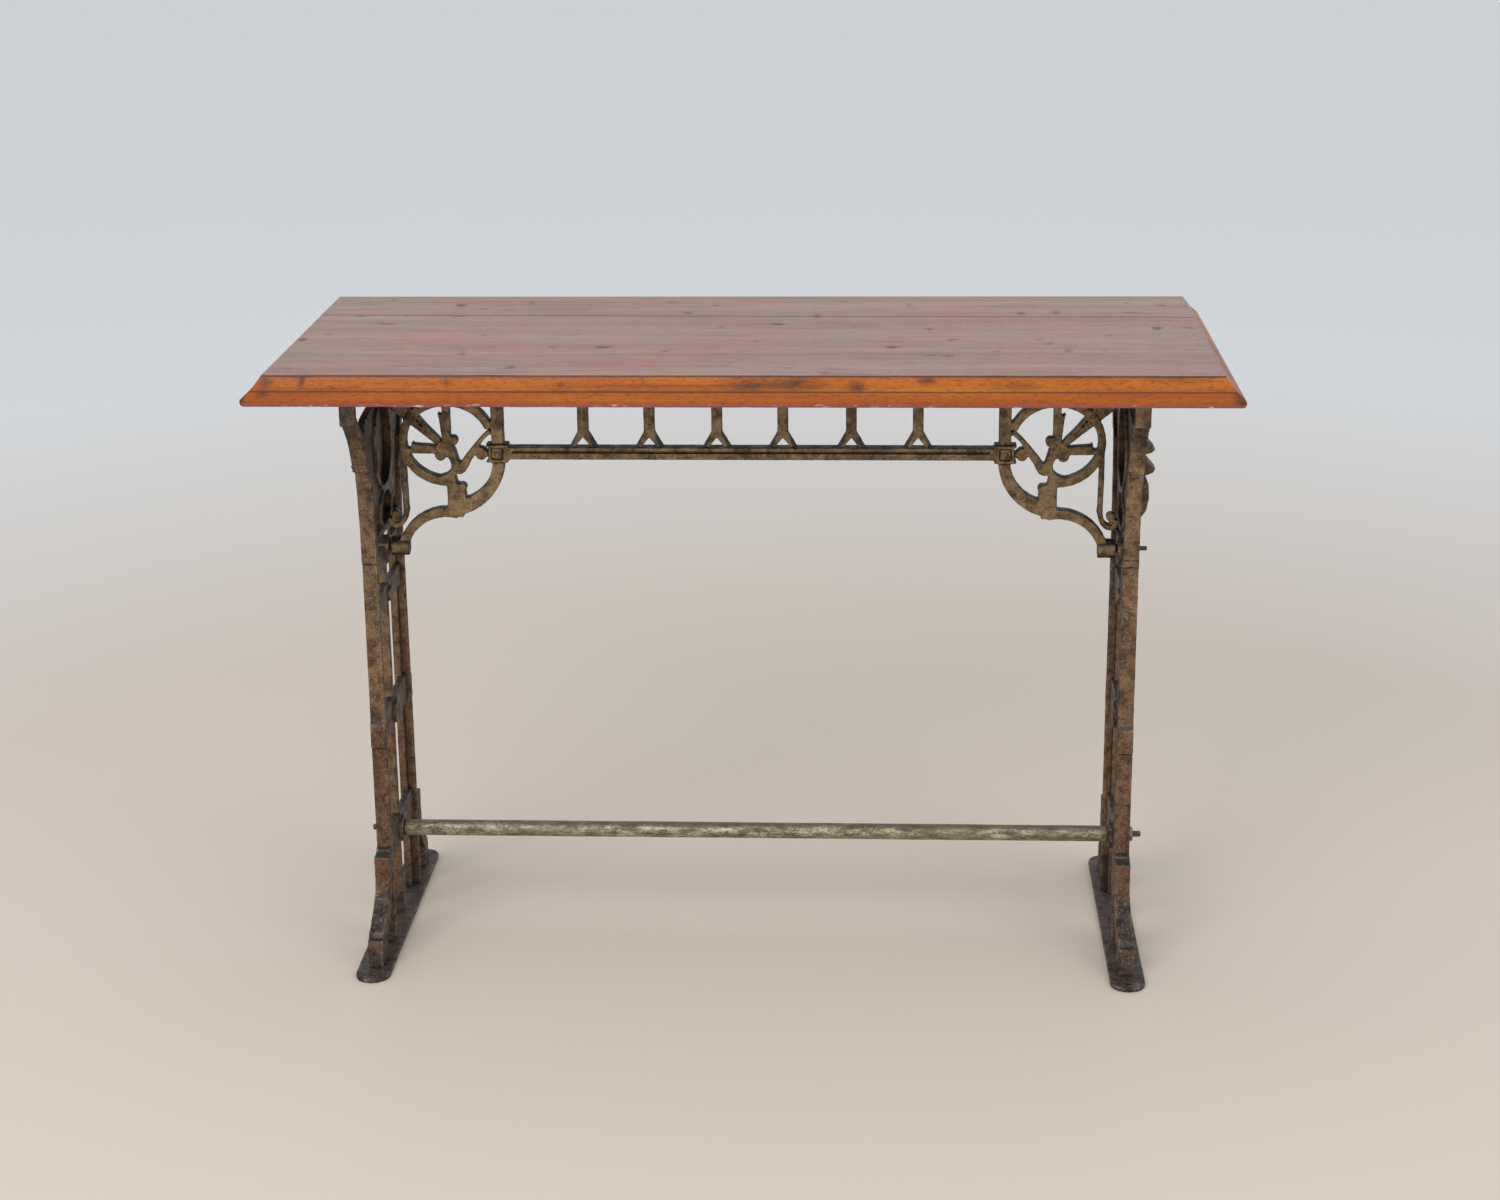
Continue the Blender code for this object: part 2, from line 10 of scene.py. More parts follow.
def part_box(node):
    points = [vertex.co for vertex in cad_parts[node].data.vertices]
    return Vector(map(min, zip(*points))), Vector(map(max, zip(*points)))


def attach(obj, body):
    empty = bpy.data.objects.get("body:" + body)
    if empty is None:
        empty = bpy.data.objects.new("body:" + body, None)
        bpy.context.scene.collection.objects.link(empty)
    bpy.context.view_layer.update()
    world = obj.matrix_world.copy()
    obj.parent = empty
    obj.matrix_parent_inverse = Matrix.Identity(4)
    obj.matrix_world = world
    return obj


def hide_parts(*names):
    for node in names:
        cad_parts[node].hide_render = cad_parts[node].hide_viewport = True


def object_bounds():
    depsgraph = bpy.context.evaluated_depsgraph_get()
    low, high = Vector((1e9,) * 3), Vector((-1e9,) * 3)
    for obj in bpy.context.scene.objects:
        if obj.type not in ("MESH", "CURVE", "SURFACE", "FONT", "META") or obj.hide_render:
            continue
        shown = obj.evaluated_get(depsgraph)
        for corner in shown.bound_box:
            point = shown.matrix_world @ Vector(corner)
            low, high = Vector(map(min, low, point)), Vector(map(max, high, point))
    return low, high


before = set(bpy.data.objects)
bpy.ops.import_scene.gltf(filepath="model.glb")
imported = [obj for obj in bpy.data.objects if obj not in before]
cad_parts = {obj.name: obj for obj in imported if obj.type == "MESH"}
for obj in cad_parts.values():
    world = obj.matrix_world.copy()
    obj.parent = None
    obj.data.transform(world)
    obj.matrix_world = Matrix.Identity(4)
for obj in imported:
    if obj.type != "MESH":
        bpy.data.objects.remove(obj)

CAD_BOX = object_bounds()
HALF_LENGTH = CAD_BOX[1][0]
TOP_Z = CAD_BOX[1][2]
UNDERSIDE_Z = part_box("top_board_front")[0].z
JOINT_LEFT_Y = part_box("top_board_front")[1].y     # the joint between the planks runs slightly askew
JOINT_RIGHT_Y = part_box("top_board_back")[0].y

# Camera: place in metres, angles in degrees, lens and sensor in millimetres
CAMERA_PLACE = Vector((0.1583, -3.1037, 1.3953))
CAMERA_HEADING = math.radians(-2.9628)
CAMERA_PITCH = math.radians(17.4623)
CAMERA_ROLL = math.radians(-0.5941)
CAMERA_LENS = 64.606
SENSOR_WIDTH = 36.0

SKY_COLOUR = (0.80, 0.835, 0.87, 1.0)
FLOOR_SIZE = 44.0
FLOOR_NEAR = (0.62, 0.53, 0.45)
FLOOR_FAR = (0.72, 0.72, 0.72)
FLOOR_FADE = (1.3, 3.2)        # distances from the origin where the floor's colour starts and stops to change

# Castings
CAST_VOXEL = 0.0010            # grid of the castings' fine surface, metres
SOLE_VOXEL = 0.0012            # the same for the foot bars
CAST_SOFTENING = 2             # rounds of smoothing of the arrises
CAST_ROUGHNESS = 0.00022       # height of the sand-cast unevenness
CAST_WAVES = 190.0             # its waves per metre
KEPT_SHARE = 0.4               # share of a casting's faces kept after its surface is made
KNEE_Z = 0.44                  # wear reddens the castings from here down
SHIN_Z = 0.16                  # and fully so from here
ANKLE_Z = 0.055                # they darken from here down
FOOT_Z = 0.020                 # and fully so from here

# Planks
BOARD_STEP = 0.005             # spacing of the surface points along X and Y
JOINT_SIDE_GAP = 0.00015       # from each plank to the middle of the joint
JOINT_EASE = 0.0007            # the joint's upper edges are eased by this much
EDGE_WAVE = 0.00015            # height of the unevenness of the sides
CHIP_LEVEL = 0.12              # noise above this level makes a nick
CHIP_DEPTH = 0.0022
CHIPPED_HEIGHT = 0.009         # nicks fade out over this height above the underside
FACE_WAVE = 0.00012            # height of the unevenness of the upper face
FACE_SINK = 0.0001             # keeps the uneven face from rising over its rim
DENT_LEVEL = 0.45              # noise above this level makes a dent
DENT_DEPTH = 0.0022
# Plank edge, (inset, height) in metres from the foot of the slope up to the face
EDGE_PROFILE = ((0.0030, UNDERSIDE_Z), (0.0015, UNDERSIDE_Z + 0.0010), (0.0005, UNDERSIDE_Z + 0.0030),
                (0.0, UNDERSIDE_Z + 0.0055), (0.0003, UNDERSIDE_Z + 0.0080), (0.0044, TOP_Z - 0.0200),
                (0.0084, TOP_Z - 0.0164), (0.0091, TOP_Z - 0.0160), (0.0100, TOP_Z - 0.0155),
                (0.0150, TOP_Z - 0.0090), (0.0205, TOP_Z - 0.0016), (0.0211, TOP_Z - 0.0006),
                (0.0220, TOP_Z))
# Old stains on the front slope: middle along X, height, half length, half height, strength
SLOPE_STAINS = ((-0.523, 0.740, 0.012, 0.008, 0.75), (-0.526, 0.728, 0.010, 0.006, 0.6),
                (-0.483, 0.741, 0.006, 0.010, 0.85), (-0.500, 0.745, 0.045, 0.004, 0.7),
                (-0.322, 0.739, 0.007, 0.007, 0.6), (-0.196, 0.737, 0.006, 0.005, 0.5),
                (0.010, 0.737, 0.045, 0.010, 0.62), (0.066, 0.738, 0.038, 0.010, 0.7),
                (0.128, 0.735, 0.016, 0.008, 0.6), (0.205, 0.741, 0.014, 0.006, 0.7),
                (0.300, 0.736, 0.040, 0.007, 0.4), (0.480, 0.742, 0.045, 0.006, 0.45),
                (0.546, 0.722, 0.014, 0.014, 0.9), (-0.549, 0.722, 0.008, 0.010, 0.8))
STAIN_INSET = 0.010            # middle of a stain behind the front edge
STAIN_REACH = 0.030            # how far a stain goes along Y
STAIN_GAIN = 1.3               # factor on the strengths above

# Footrest tube
TUBE_SIDES = 40
TUBE_STEPS = 260
TUBE_BORE_SHARE = 0.66         # bore radius as a share of the outer radius
TUBE_END_EASE = 0.0008         # the rubbed end's rounding, across
TUBE_END_LENGTH = 0.0007       # and along the tube
TUBE_DENT = 0.00022            # height of the tube's slow unevenness
TUBE_SINK = 0.0002             # keeps the uneven tube inside its outer radius

# Threads, as shares of the pitch or of the bar's radius where no unit is given
BAR_SIDES = 20
THREAD_STEPS = 6               # rings in one pitch
THREAD_DEPTH = 0.55
SHANK_SHARE = 0.985
POINT_SHARE = 0.55
POINT_LENGTH = 0.0016          # metres
SHANK_STEP = 0.01              # metres between rings of the plain part
ROD_PITCH = 0.00125
ROD_THREAD = 0.026
STUD_PITCH = 0.001
STUD_THREAD = 0.019

# Small hardware
NUT_EASE = 0.0006
WASHER_EASE = 0.0004
SCREW_EASE = 0.0003
SCREW_SLOT = (0.012, 0.0011, 0.0028)


# ---------------------------------------------------------------- camera, floor and light

def make_camera():
    right = Vector((math.cos(CAMERA_HEADING), -math.sin(CAMERA_HEADING), 0.0))
    level = Vector((math.sin(CAMERA_HEADING), math.cos(CAMERA_HEADING), 0.0))
    forward = level * math.cos(CAMERA_PITCH) - Vector((0.0, 0.0, math.sin(CAMERA_PITCH)))
    up = right.cross(forward)
    across = right * math.cos(CAMERA_ROLL) + up * math.sin(CAMERA_ROLL)
    above = up * math.cos(CAMERA_ROLL) - right * math.sin(CAMERA_ROLL)
    data = bpy.data.cameras.new("camera")
    data.sensor_width = SENSOR_WIDTH
    data.lens = CAMERA_LENS
    camera = bpy.data.objects.new("camera", data)
    turn = Matrix((across, above, -forward)).transposed().to_4x4()
    camera.matrix_world = Matrix.Translation(CAMERA_PLACE) @ turn
    bpy.context.scene.collection.objects.link(camera)
    bpy.context.scene.camera = camera


def area_light(name, place, target, size, power, colour):
    data = bpy.data.lights.new(name, "AREA")
    data.shape = "RECTANGLE"
    data.size = size[0]
    data.size_y = size[1]
    data.energy = power
    data.color = colour
    light = bpy.data.objects.new(name, data)
    light.location = place
    light.rotation_euler = (Vector(target) - Vector(place)).to_track_quat("-Z", "Y").to_euler()
    bpy.context.scene.collection.objects.link(light)


def make_light():
    bpy.context.scene.view_settings.view_transform = "Standard"
    world = bpy.data.worlds.new("studio")
    world.use_nodes = True
    sky = world.node_tree.nodes["Background"]
    sky.inputs["Color"].default_value = SKY_COLOUR
    sky.inputs["Strength"].default_value = 1.0
    bpy.context.scene.world = world
    area_light("key", (-1.7, -3.0, 2.8), (0.0, 0.0, 0.4), (2.4, 1.8), 70.0, (1.0, 0.97, 0.93))
    area_light("fill", (2.4, -2.4, 1.9), (0.0, 0.0, 0.3), (2.0, 2.0), 26.0, (1.0, 0.98, 0.95))


def make_floor():
    """A pale floor, warmer under the table and neutral far off."""
    bpy.ops.mesh.primitive_plane_add(size=FLOOR_SIZE)
    floor = bpy.context.object
    floor.name = "floor"
    material, shader, tree = new_material("pale_floor")
    apart = tree.nodes.new("ShaderNodeVectorMath")
    apart.operation = "LENGTH"
    tree.links.new(tree.nodes.new("ShaderNodeNewGeometry").outputs["Position"], apart.inputs[0])
    fade = remapped(tree, apart.outputs["Value"], *FLOOR_FADE)
    tree.links.new(ramp(tree, fade, ((0.0, FLOOR_NEAR), (1.0, FLOOR_FAR))), shader.inputs["Base Color"])
    shader.inputs["Roughness"].default_value = 0.6
    floor.data.materials.append(material)


# ---------------------------------------------------------------- node helpers

def new_material(name):
    material = bpy.data.materials.new(name)
    material.use_nodes = True
    return material, material.node_tree.nodes["Principled BSDF"], material.node_tree


def join(tree, socket, value):
    """Feed a socket from another socket, a colour or a number."""
    if isinstance(value, bpy.types.NodeSocket):
        tree.links.new(value, socket)
    elif hasattr(value, "__len__"):
        socket.default_value = (*value, 1.0)
    else:
        socket.default_value = value


def remapped(tree, value, low, high):
    """0 at low and 1 at high, held beyond them."""
    node = tree.nodes.new("ShaderNodeMapRange")
    node.inputs["From Min"].default_value = low
    node.inputs["From Max"].default_value = high
    tree.links.new(value, node.inputs["Value"])
    return node.outputs["Result"]


def ramp(tree, value, stops):
    """Colours, or grey levels, at stops of a value from 0 to 1."""
    node = tree.nodes.new("ShaderNodeValToRGB")
    elements = node.color_ramp.elements
    while len(elements) < len(stops):
        elements.new(0.5)
    for element, (place, colour) in zip(elements, stops):
        element.position = place
        if not hasattr(colour, "__len__"):
            colour = (colour, colour, colour)
        element.color = (*colour, 1.0)
    tree.links.new(value, node.inputs["Fac"])
    return node.outputs["Color"]


def places(tree, scale=(1.0, 1.0, 1.0), shift=(0.0, 0.0, 0.0), turn=(0.0, 0.0, 0.0)):
    """Object-space position, scaled, turned and shifted."""
    coordinates = tree.nodes.new("ShaderNodeTexCoord")
    mapping = tree.nodes.new("ShaderNodeMapping")
    mapping.inputs["Scale"].default_value = scale
    mapping.inputs["Rotation"].default_value = turn
    mapping.inputs["Location"].default_value = shift
    tree.links.new(coordinates.outputs["Object"], mapping.inputs["Vector"])
    return mapping.outputs["Vector"]


def noise_value(tree, scale, detail, roughness, stretch=(1.0, 1.0, 1.0), shift=(0.0, 0.0, 0.0),
                distortion=0.0, turn=(0.0, 0.0, 0.0)):
    node = tree.nodes.new("ShaderNodeTexNoise")
    node.inputs["Scale"].default_value = scale
    node.inputs["Detail"].default_value = detail
    node.inputs["Roughness"].default_value = roughness
    node.inputs["Distortion"].default_value = distortion
    tree.links.new(places(tree, stretch, shift, turn), node.inputs["Vector"])
    return node.outputs["Fac"]


def mixed(tree, amount, first, second, mode="MIX"):
    node = tree.nodes.new("ShaderNodeMix")
    node.data_type = "RGBA"
    node.blend_type = mode
    for socket, value in ((node.inputs[0], amount), (node.inputs[6], first), (node.inputs[7], second)):
        join(tree, socket, value)
    return node.outputs[2]


def tinted(tree, colour, mask, stops, tint):
    """A tint laid over a colour; the stops turn the mask into the tint's strength."""
    return mixed(tree, ramp(tree, mask, stops), colour, tint)


def calc(tree, operation, first, second=0.0):
    node = tree.nodes.new("ShaderNodeMath")
    node.operation = operation
    join(tree, node.inputs[0], first)
    join(tree, node.inputs[1], second)
    return node.outputs["Value"]


def product(tree, first, second):
    return calc(tree, "MULTIPLY", first, second)


def part_of(tree, vector, axis):
    split = tree.nodes.new("ShaderNodeSeparateXYZ")
    tree.links.new(vector, split.inputs[0])
    return split.outputs[axis]


def height_mask(tree, low, high):
    """0 at the height low and 1 at the height high, held beyond them."""
    return remapped(tree, part_of(tree, places(tree), "Z"), low, high)


def below_mask(tree, low, high):
    """1 under the height low, 0 over the height high."""
    return calc(tree, "SUBTRACT", 1.0, height_mask(tree, low, high))


def normal_part(tree, axis):
    return part_of(tree, tree.nodes.new("ShaderNodeNewGeometry").outputs["Normal"], axis)


def pointed(tree, stops):
    """Grey levels by how sharply the surface sticks out."""
    return ramp(tree, tree.nodes.new("ShaderNodeNewGeometry").outputs["Pointiness"], stops)


def spot(tree, centre, reach):
    """1 near a centre, falling to 0 at the given distances along X, Y and Z."""
    scale = tuple(1.0 / value for value in reach)
    shift = tuple(-place / value for place, value in zip(centre, reach))
    length = tree.nodes.new("ShaderNodeVectorMath")
    length.operation = "LENGTH"
    tree.links.new(places(tree, scale, shift), length.inputs[0])
    return remapped(tree, length.outputs["Value"], 1.0, 0.15)


def bump(tree, shader, heights):
    """Chain of bumps from (height socket, strength, distance)."""
    normal = None
    for height, strength, distance in heights:
        node = tree.nodes.new("ShaderNodeBump")
        node.inputs["Strength"].default_value = strength
        node.inputs["Distance"].default_value = distance
        tree.links.new(height, node.inputs["Height"])
        if normal is not None:
            tree.links.new(normal, node.inputs["Normal"])
        normal = node.outputs["Normal"]
    tree.links.new(normal, shader.inputs["Normal"])


# ---------------------------------------------------------------- materials

def cast_material(name, gold, brown, side, rust_share, shift, outline, painted_ledge_shade):
    """Aged bronze paint on the faces, rust and specks all over; darker flanks, and painted shade on the
    flanks, the rims round the faces, the upward ledges and the undersides.

    side colours the flanks, partly as the bars' own darker colour and partly as painted shade, and the
    painted shade on the undersides; ledge is the painted shade on the upward faces; outline is how strongly
    side shows round the faces as painted shade.
    """
    material, shader, tree = new_material(name)
    broad = noise_value(tree, 10.0, 5.0, 0.6, (1.0, 1.0, 0.45), shift)
    fine = noise_value(tree, 85.0, 6.0, 0.68, (1.0, 1.0, 1.0), shift)
    colour = mixed(tree, ramp(tree, broad, ((0.38, 0.0), (0.62, 1.0))), gold, brown)
    rust = noise_value(tree, 15.0, 6.0, 0.72, (1.0, 1.0, 0.3), (shift[0] + 4.0, 1.0, 2.0))
    colour = tinted(tree, colour, rust, ((0.50, 0.0), (0.62, rust_share)), (0.105, 0.042, 0.026))
    slate = noise_value(tree, 9.0, 4.0, 0.6, (1.0, 1.0, 0.5), (shift[0] - 3.0, 5.0, 0.0))
    colour = tinted(tree, colour, slate, ((0.54, 0.0), (0.66, 0.55)), (0.095, 0.080, 0.080))
    # Handled and kicked below the knees: redder, then slate-brown at the feet
    kicked = product(tree, height_mask(tree, KNEE_Z, SHIN_Z), ramp(tree, broad, ((0.36, 0.45), (0.6, 0.9))))
    colour = mixed(tree, kicked, colour, (0.125, 0.058, 0.034))
    low_darkening = product(tree, height_mask(tree, ANKLE_Z, FOOT_Z), 0.8)
    colour = mixed(tree, low_darkening, colour, (0.055, 0.042, 0.040))
    # The paint shows on the faces and the flanks are darker; painted shade darkens the flanks, the rims round
    # the faces, the upward ledges and the undersides of every bar
    flank = calc(tree, "ABSOLUTE", normal_part(tree, "X"))
    colour = tinted(tree, colour, flank, ((0.45, 0.0), (0.8, 0.85)), side)
    facing = calc(tree, "ABSOLUTE", normal_part(tree, "Y"))
    colour = tinted(tree, colour, facing, ((0.72, outline), (0.95, 0.0)), side)
    # Painted shade on the upward ledges, which the planks above keep from the light, and on the undersides
    upward = normal_part(tree, "Z")
    colour = tinted(tree, colour, upward, ((0.35, 0.0), (0.62, 0.94)), painted_ledge_shade)
    downward = product(tree, upward, -1.0)
    colour = tinted(tree, colour, downward, ((0.4, 0.0), (0.8, 0.7)), side)
    grain = ramp(tree, fine, ((0.40, 1.25), (0.50, 0.95), (0.62, 0.42)))
    colour = mixed(tree, 1.0, colour, grain, "MULTIPLY")
    # Painted shade in the hollows and creases, where the surface is least pointed
    colour = mixed(tree, 0.9, colour, pointed(tree, ((0.43, 0.18), (0.492, 1.0))), "MULTIPLY")
    rubbed = ramp(tree, fine, ((0.42, 0.7), (0.56, 0.0)))
    worn = product(tree, pointed(tree, ((0.512, 0.0), (0.56, 1.0))), rubbed)
    colour = mixed(tree, worn, colour, (0.33, 0.25, 0.16))
    specks = noise_value(tree, 520.0, 2.0, 0.6, (1.0, 1.0, 1.0), shift)
    colour = tinted(tree, colour, specks, ((0.54, 0.0), (0.64, 0.6)), (0.030, 0.020, 0.014))
    glints = noise_value(tree, 430.0, 2.0, 0.6, (1.0, 1.0, 1.0), (5.0, 5.0, shift[0]))
    colour = tinted(tree, colour, glints, ((0.60, 0.0), (0.68, 0.5)), (0.34, 0.26, 0.16))
    tree.links.new(colour, shader.inputs["Base Color"])
    tree.links.new(ramp(tree, fine, ((0.35, 0.42), (0.7, 0.72))), shader.inputs["Roughness"])
    shader.inputs["Metallic"].default_value = 0.35
    shader.inputs["Specular IOR Level"].default_value = 0.3
    bump(tree, shader, ((noise_value(tree, 300.0, 5.0, 0.6), 0.45, 0.0008), (fine, 0.35, 0.0014)))
    return material


def frame_material():
    return cast_material("bronzed_iron", gold=(0.240, 0.145, 0.068), brown=(0.135, 0.078, 0.044),
                         side=(0.058, 0.030, 0.019), rust_share=0.85, shift=(0.0, 0.0, 0.0), outline=0.6,
                         painted_ledge_shade=(0.042, 0.033, 0.030))


def girt_material():
    return cast_material("bronzed_iron_girt", gold=(0.300, 0.195, 0.088), brown=(0.200, 0.130, 0.066),
                         side=(0.018, 0.012, 0.011), rust_share=0.45, shift=(7.0, 2.0, 0.0), outline=0.95,
                         painted_ledge_shade=(0.022, 0.018, 0.020))


def foot_bar_material():
    return cast_material("dark_iron", gold=(0.085, 0.060, 0.048), brown=(0.062, 0.040, 0.033),
                         side=(0.040, 0.028, 0.025), rust_share=0.5, shift=(3.0, 9.0, 1.0), outline=0.0,
                         painted_ledge_shade=(0.068, 0.048, 0.042))


def tube_material():
    """Greenish-yellow patina in streaks, brown spots and a darker upper side."""
    material, shader, tree = new_material("tube_patina")
    streaks = noise_value(tree, 110.0, 6.0, 0.75, (0.35, 1.0, 1.0))
    colour = ramp(tree, streaks, ((0.34, (0.060, 0.048, 0.030)), (0.45, (0.18, 0.145, 0.085)),
                                  (0.54, (0.34, 0.30, 0.20)), (0.66, (0.56, 0.53, 0.40))))
    spots = noise_value(tree, 420.0, 3.0, 0.6, (0.6, 1.0, 1.0))
    colour = tinted(tree, colour, spots, ((0.52, 0.0), (0.60, 0.7)), (0.07, 0.055, 0.035))
    patches = noise_value(tree, 12.0, 3.0, 0.6, (0.6, 1.0, 1.0), (2.0, 0.0, 0.0))
    colour = tinted(tree, colour, patches, ((0.46, 0.0), (0.66, 0.65)), (0.19, 0.15, 0.09))
    # Darker on the upper side
    colour = tinted(tree, colour, normal_part(tree, "Z"), ((0.55, 0.0), (0.95, 0.75)), (0.10, 0.085, 0.062))
    tree.links.new(colour, shader.inputs["Base Color"])
    tree.links.new(ramp(tree, streaks, ((0.35, 0.62), (0.7, 0.38))), shader.inputs["Roughness"])
    shader.inputs["Metallic"].default_value = 0.35
    bump(tree, shader, ((spots, 0.35, 0.0005), (streaks, 0.3, 0.0007)))
    return material


def steel_material():
    """Dark, stained steel that is brighter on its edges."""
    material, shader, tree = new_material("old_steel")
    stain = noise_value(tree, 180.0, 5.0, 0.65)
    colour = ramp(tree, stain, ((0.32, (0.030, 0.024, 0.026)), (0.52, (0.085, 0.066, 0.060)),
                                (0.70, (0.20, 0.15, 0.11))))
    colour = mixed(tree, pointed(tree, ((0.515, 0.0), (0.58, 0.8))), colour, (0.26, 0.22, 0.18))
    tree.links.new(colour, shader.inputs["Base Color"])
    tree.links.new(ramp(tree, stain, ((0.3, 0.4), (0.7, 0.65))), shader.inputs["Roughness"])
    shader.inputs["Metallic"].default_value = 0.5
    bump(tree, shader, ((stain, 0.3, 0.0004),))
    return material


def slope_colour(tree, figure, lines):
    """Orange varnish of the planks' edges, redder on the lower slope, with a dark line along the quirk and
    stains.
    """
    colour = ramp(tree, figure, ((0.32, (0.26, 0.054, 0.001)), (0.50, (0.385, 0.096, 0.002)),
                                 (0.68, (0.50, 0.165, 0.004))))
    colour = tinted(tree, colour, lines, ((0.50, 0.0), (0.64, 0.6)), (0.17, 0.036, 0.008))
    low = TOP_Z - 0.0176
    high = TOP_Z - 0.0150
    quirk = product(tree, height_mask(tree, low, low + 0.0012), height_mask(tree, high, high - 0.0012))
    colour = mixed(tree, product(tree, quirk, 0.9), colour, (0.060, 0.016, 0.006))
    lower = below_mask(tree, TOP_Z - 0.0185, TOP_Z - 0.0165)
    colour = mixed(tree, product(tree, lower, 0.5), colour, (0.27, 0.046, 0.002))
    flecks = noise_value(tree, 420.0, 3.0, 0.7, (0.3, 1.0, 1.0), (4.0, 0.0, 0.0))
    colour = tinted(tree, colour, flecks, ((0.50, 0.0), (0.62, 0.5)), (0.12, 0.026, 0.003))
    mottle = noise_value(tree, 65.0, 6.0, 0.75, (0.5, 1.0, 1.0), (3.0, 3.0, 0.0))
    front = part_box("top_board_front")[0].y
    for x, z, half_length, half_height, strength in SLOPE_STAINS:
        stain = spot(tree, (x, front + STAIN_INSET, z), (half_length, STAIN_REACH, half_height))
        broken = product(tree, stain, ramp(tree, mottle, ((0.36, 0.4), (0.52, 1.0))))
        amount = product(tree, broken, min(1.0, strength * STAIN_GAIN))
        colour = mixed(tree, amount, colour, (0.030, 0.012, 0.008))
    return colour


def joint_line(tree):
    """Y of the joint between the two planks at a point's X."""
    node = tree.nodes.new("ShaderNodeMapRange")
    node.inputs["From Min"].default_value = CAD_BOX[0][0]
    node.inputs["From Max"].default_value = CAD_BOX[1][0]
    node.inputs["To Min"].default_value = JOINT_LEFT_Y
    node.inputs["To Max"].default_value = JOINT_RIGHT_Y
    tree.links.new(part_of(tree, places(tree), "X"), node.inputs["Value"])
    return node.outputs["Result"]


def face_colour(tree, figure, lines, pores):
    """Dulled pinkish-brown upper face with red and olive zones, pores, scratches and a dark joint."""
    figured = ramp(tree, figure, ((0.34, 0.0), (0.66, 1.0)))
    colour = mixed(tree, figured, (0.27, 0.150, 0.112), (0.34, 0.190, 0.150))
    red = noise_value(tree, 3.2, 5.0, 0.6, (1.0, 2.0, 2.0), (5.2, 1.0, 0.0), 0.8)
    colour = tinted(tree, colour, red, ((0.46, 0.0), (0.60, 0.6)), (0.38, 0.120, 0.100))
    olive = noise_value(tree, 3.4, 5.0, 0.6, (1.0, 1.8, 1.8), (1.7, 3.0, 0.0), 0.5)
    colour = tinted(tree, colour, olive, ((0.50, 0.0), (0.62, 0.5)), (0.25, 0.175, 0.115))
    colour = tinted(tree, colour, lines, ((0.50, 0.0), (0.66, 0.5)), (0.10, 0.062, 0.055))
    colour = tinted(tree, colour, pores, ((0.54, 0.0), (0.66, 0.6)), (0.080, 0.052, 0.048))
    specks = noise_value(tree, 500.0, 2.0, 0.6, (0.4, 1.0, 1.0), (1.0, 6.0, 0.0))
    colour = tinted(tree, colour, specks, ((0.54, 0.0), (0.64, 0.55)), (0.12, 0.075, 0.065))
    past_joint = calc(tree, "SUBTRACT", part_of(tree, places(tree), "Y"), joint_line(tree))
    beside = remapped(tree, calc(tree, "ABSOLUTE", past_joint), 0.0022, 0.0007)
    colour = mixed(tree, beside, colour, (0.035, 0.020, 0.016))
    for turn, shift in ((0.5, 1.0), (-0.35, 6.0), (1.3, 9.0)):
        scratch = noise_value(tree, 30.0, 2.0, 0.5, (0.22, 6.0, 1.0), (shift, 0.0, 0.0),
                              turn=(0.0, 0.0, turn))
        colour = tinted(tree, colour, scratch, ((0.69, 0.0), (0.73, 0.6)), (0.045, 0.028, 0.026))
    return colour


def wood_material():
    """Old varnished hardwood: figured grain along X, worn rims, a bare underside and a satin shine."""
    material, shader, tree = new_material("varnished_wood")
    figure = noise_value(tree, 6.0, 6.0, 0.62, (0.25, 4.0, 4.0), (0.3, 0.0, 0.0), 0.6)
    lines = noise_value(tree, 85.0, 5.0, 0.72, (0.028, 2.2, 2.2), (0.0, 0.0, 0.0), 0.15)
    pores = noise_value(tree, 330.0, 3.0, 0.65, (0.07, 1.2, 1.2), (2.0, 0.0, 0.0))
    top = height_mask(tree, TOP_Z - 0.0016, TOP_Z - 0.0005)
    colour = mixed(tree, top, slope_colour(tree, figure, lines), face_colour(tree, figure, lines, pores))
    # Dark line where the face meets the slopes
    rim = product(tree, height_mask(tree, TOP_Z - 0.0030, TOP_Z - 0.0014),
                  height_mask(tree, TOP_Z - 0.0002, TOP_Z - 0.0008))
    colour = mixed(tree, product(tree, rim, 0.85), colour, (0.030, 0.012, 0.010))
    stains = noise_value(tree, 12.0, 6.0, 0.72, (0.6, 1.8, 1.8), (3.1, 7.0, 0.0))
    colour = tinted(tree, colour, stains, ((0.62, 0.0), (0.72, 0.7)), (0.060, 0.028, 0.018))
    # Worn lower rim: pinkish, with pale chips
    foot = below_mask(tree, UNDERSIDE_Z + 0.0020, UNDERSIDE_Z + 0.0046)
    chips = noise_value(tree, 150.0, 4.0, 0.7, (0.35, 1.0, 1.0), (9.0, 0.0, 0.0))
    for stops, tint in ((((0.34, 0.45), (0.55, 0.95)), (0.26, 0.085, 0.105)),
                        (((0.58, 0.0), (0.66, 0.9)), (0.72, 0.62, 0.60))):
        colour = mixed(tree, product(tree, foot, ramp(tree, chips, stops)), colour, tint)
    bare = mixed(tree, ramp(tree, lines, ((0.4, 0.0), (0.62, 1.0))), (0.30, 0.17, 0.095), (0.16, 0.085, 0.05))
    downward = product(tree, normal_part(tree, "Z"), -1.0)
    colour = tinted(tree, colour, downward, ((0.9, 0.0), (0.99, 0.9)), bare)
    tree.links.new(colour, shader.inputs["Base Color"])
    tree.links.new(ramp(tree, figure, ((0.3, 0.46), (0.7, 0.36))), shader.inputs["Roughness"])
    shader.inputs["Specular IOR Level"].default_value = 0.36
    bump(tree, shader, ((lines, 0.22, 0.0007), (pores, 0.2, 0.0005), (figure, 0.12, 0.0016)))
    return material


# ---------------------------------------------------------------- mesh helpers

